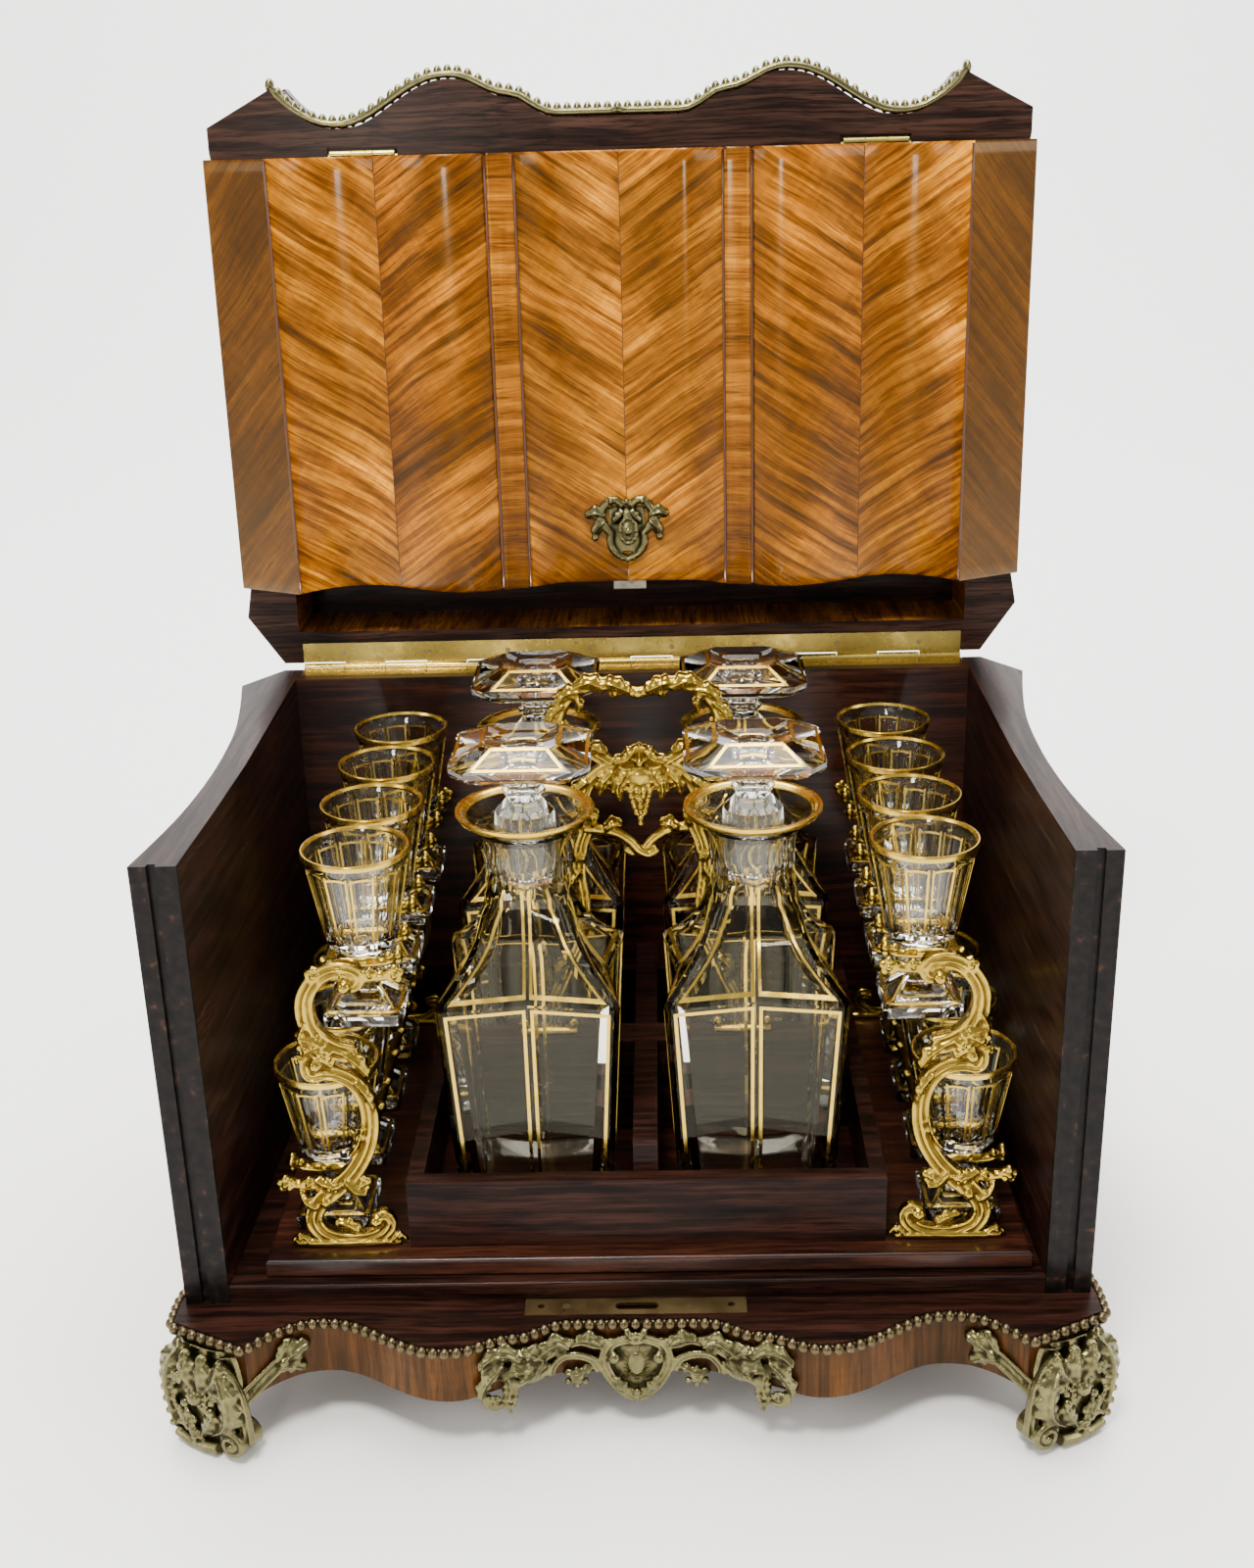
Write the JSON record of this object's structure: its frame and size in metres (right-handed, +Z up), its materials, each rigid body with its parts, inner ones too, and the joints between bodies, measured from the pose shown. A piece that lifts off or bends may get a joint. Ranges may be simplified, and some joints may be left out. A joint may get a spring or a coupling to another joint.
{
  "type": "tantalus",
  "caption": "Serpentine-fronted wooden drinks casket, open, with a hinged lid and front panel and a lift-out tray of crystal decanters and glasses in gilt racks.",
  "frame": {"origin": "middle of the footprint of the open casket, on the table under the feet", "axes": "+Z up, +X to the right as seen from the front, the serpentine front faces -Y"},
  "size_m": [0.3576, 0.3012, 0.4663],
  "materials": {
    "kingwood_veneer": "french polished, quarter-matched kingwood veneer",
    "dark_rosewood": "dark polished rosewood",
    "aged_bronze": "patinated cast gilt bronze",
    "gilt_brass": "polished gilt",
    "hinge_brass": "drawn brass, worn",
    "bolt_steel": "filed",
    "cut_crystal": "clear cut crystal with gilt lines"
  },
  "bodies": {
    "case": {"plinth_frieze": "kingwood_veneer", "plinth_top_board": "dark_rosewood", "bead_moulding": "aged_bronze", "foot_front_left": "aged_bronze", "foot_front_right": "aged_bronze", "foot_rear_left": "aged_bronze", "foot_rear_right": "aged_bronze", "apron_mount": "aged_bronze", "side_wall_left": "kingwood_veneer", "side_wall_right": "kingwood_veneer", "back_wall": "dark_rosewood", "floor_riser": "dark_rosewood", "strike_plate": "hinge_brass", "case_hinge_leaf": "hinge_brass", "case_screws_and_nails": "hinge_brass"},
    "pin": {"hinge_pin": "hinge_brass"},
    "lid": {"lid_frame": "kingwood_veneer", "lid_top_board": "kingwood_veneer", "gadroon_border": "aged_bronze", "lid_hinge_leaf": "hinge_brass", "panel_hinge_rail_leaves": "hinge_brass", "lid_screws": "hinge_brass"},
    "panel": {"front_panel": "kingwood_veneer", "lock_case": "hinge_brass", "escutcheon": "aged_bronze", "panel_hinge_panel_leaves": "hinge_brass", "panel_screws": "hinge_brass", "panel_hinge_pins": "hinge_brass"},
    "cover": {"keyhole_cover": "aged_bronze"},
    "bolt": {"lock_bolt": "bolt_steel"},
    "tray": {"tray_board": "dark_rosewood", "decanter_box": "dark_rosewood", "decanter_dividers": "dark_rosewood", "carrying_handle": "gilt_brass", "rack_left": "gilt_brass", "rack_right": "gilt_brass", "glass_left_lower_1": "cut_crystal", "glass_left_lower_2": "cut_crystal", "glass_left_lower_3": "cut_crystal", "glass_left_lower_4": "cut_crystal", "glass_left_upper_1": "cut_crystal", "glass_left_upper_2": "cut_crystal", "glass_left_upper_3": "cut_crystal", "glass_left_upper_4": "cut_crystal", "glass_right_lower_1": "cut_crystal", "glass_right_lower_2": "cut_crystal", "glass_right_lower_3": "cut_crystal", "glass_right_lower_4": "cut_crystal", "glass_right_upper_1": "cut_crystal", "glass_right_upper_2": "cut_crystal", "glass_right_upper_3": "cut_crystal", "glass_right_upper_4": "cut_crystal"},
    "decanter_front_left": {"decanter_front_left": "cut_crystal"},
    "stopper_front_left": {"stopper_front_left": "cut_crystal"},
    "decanter_front_right": {"decanter_front_right": "cut_crystal"},
    "stopper_front_right": {"stopper_front_right": "cut_crystal"},
    "decanter_rear_left": {"decanter_rear_left": "cut_crystal"},
    "stopper_rear_left": {"stopper_rear_left": "cut_crystal"},
    "decanter_rear_right": {"decanter_rear_right": "cut_crystal"},
    "stopper_rear_right": {"stopper_rear_right": "cut_crystal"}
  },
  "joints": [
    {"name": "lid_hinge_first", "type": "hinge", "parent": "case", "child": "pin", "pos_m": [0, 0.099, 0.22115], "axis": [-1, 0, 0], "range_deg": [-55.5, 0]},
    {"name": "lid_hinge_last", "type": "hinge", "parent": "pin", "child": "lid", "pos_m": [0, 0.099, 0.22115], "axis": [-1, 0, 0], "range_deg": [-36.5, 0]},
    {"name": "panel_hinge", "type": "hinge", "parent": "lid", "child": "panel", "pos_m": [0, 0.10599, 0.43434], "axis": [1, 0, 0], "range_deg": [-90, 0]},
    {"name": "keyhole_cover_swing", "type": "hinge", "parent": "panel", "child": "cover", "pos_m": [0, 0.08864, 0.29115], "axis": [0, -0.9994, 0.0349], "range_deg": [0, 75]},
    {"name": "lock_bolt_slide", "type": "slide", "parent": "panel", "child": "bolt", "axis": [0, 0.0349, 0.9994], "range_m": [0, 0.0044]},
    {"name": "tray_lift", "type": "slide", "parent": "case", "child": "tray", "axis": [0, 0, 1], "range_m": [0, 0.17]},
    {"name": "decanter_lift_front_left", "type": "slide", "parent": "tray", "child": "decanter_front_left", "axis": [0, 0, 1], "range_m": [0, 0.16]},
    {"name": "stopper_lift_front_left", "type": "slide", "parent": "decanter_front_left", "child": "stopper_front_left", "axis": [0, 0, 1], "range_m": [0, 0.035]},
    {"name": "decanter_lift_front_right", "type": "slide", "parent": "tray", "child": "decanter_front_right", "axis": [0, 0, 1], "range_m": [0, 0.16]},
    {"name": "stopper_lift_front_right", "type": "slide", "parent": "decanter_front_right", "child": "stopper_front_right", "axis": [0, 0, 1], "range_m": [0, 0.035]},
    {"name": "decanter_lift_rear_left", "type": "slide", "parent": "tray", "child": "decanter_rear_left", "axis": [0, 0, 1], "range_m": [0, 0.16]},
    {"name": "stopper_lift_rear_left", "type": "slide", "parent": "decanter_rear_left", "child": "stopper_rear_left", "axis": [0, 0, 1], "range_m": [0, 0.035]},
    {"name": "decanter_lift_rear_right", "type": "slide", "parent": "tray", "child": "decanter_rear_right", "axis": [0, 0, 1], "range_m": [0, 0.16]},
    {"name": "stopper_lift_rear_right", "type": "slide", "parent": "decanter_rear_right", "child": "stopper_rear_right", "axis": [0, 0, 1], "range_m": [0, 0.035]}
  ],
  "couplings": [
    {"joint": "panel_hinge", "follows": "lid_hinge_first", "ratio": 1.6216}
  ]
}
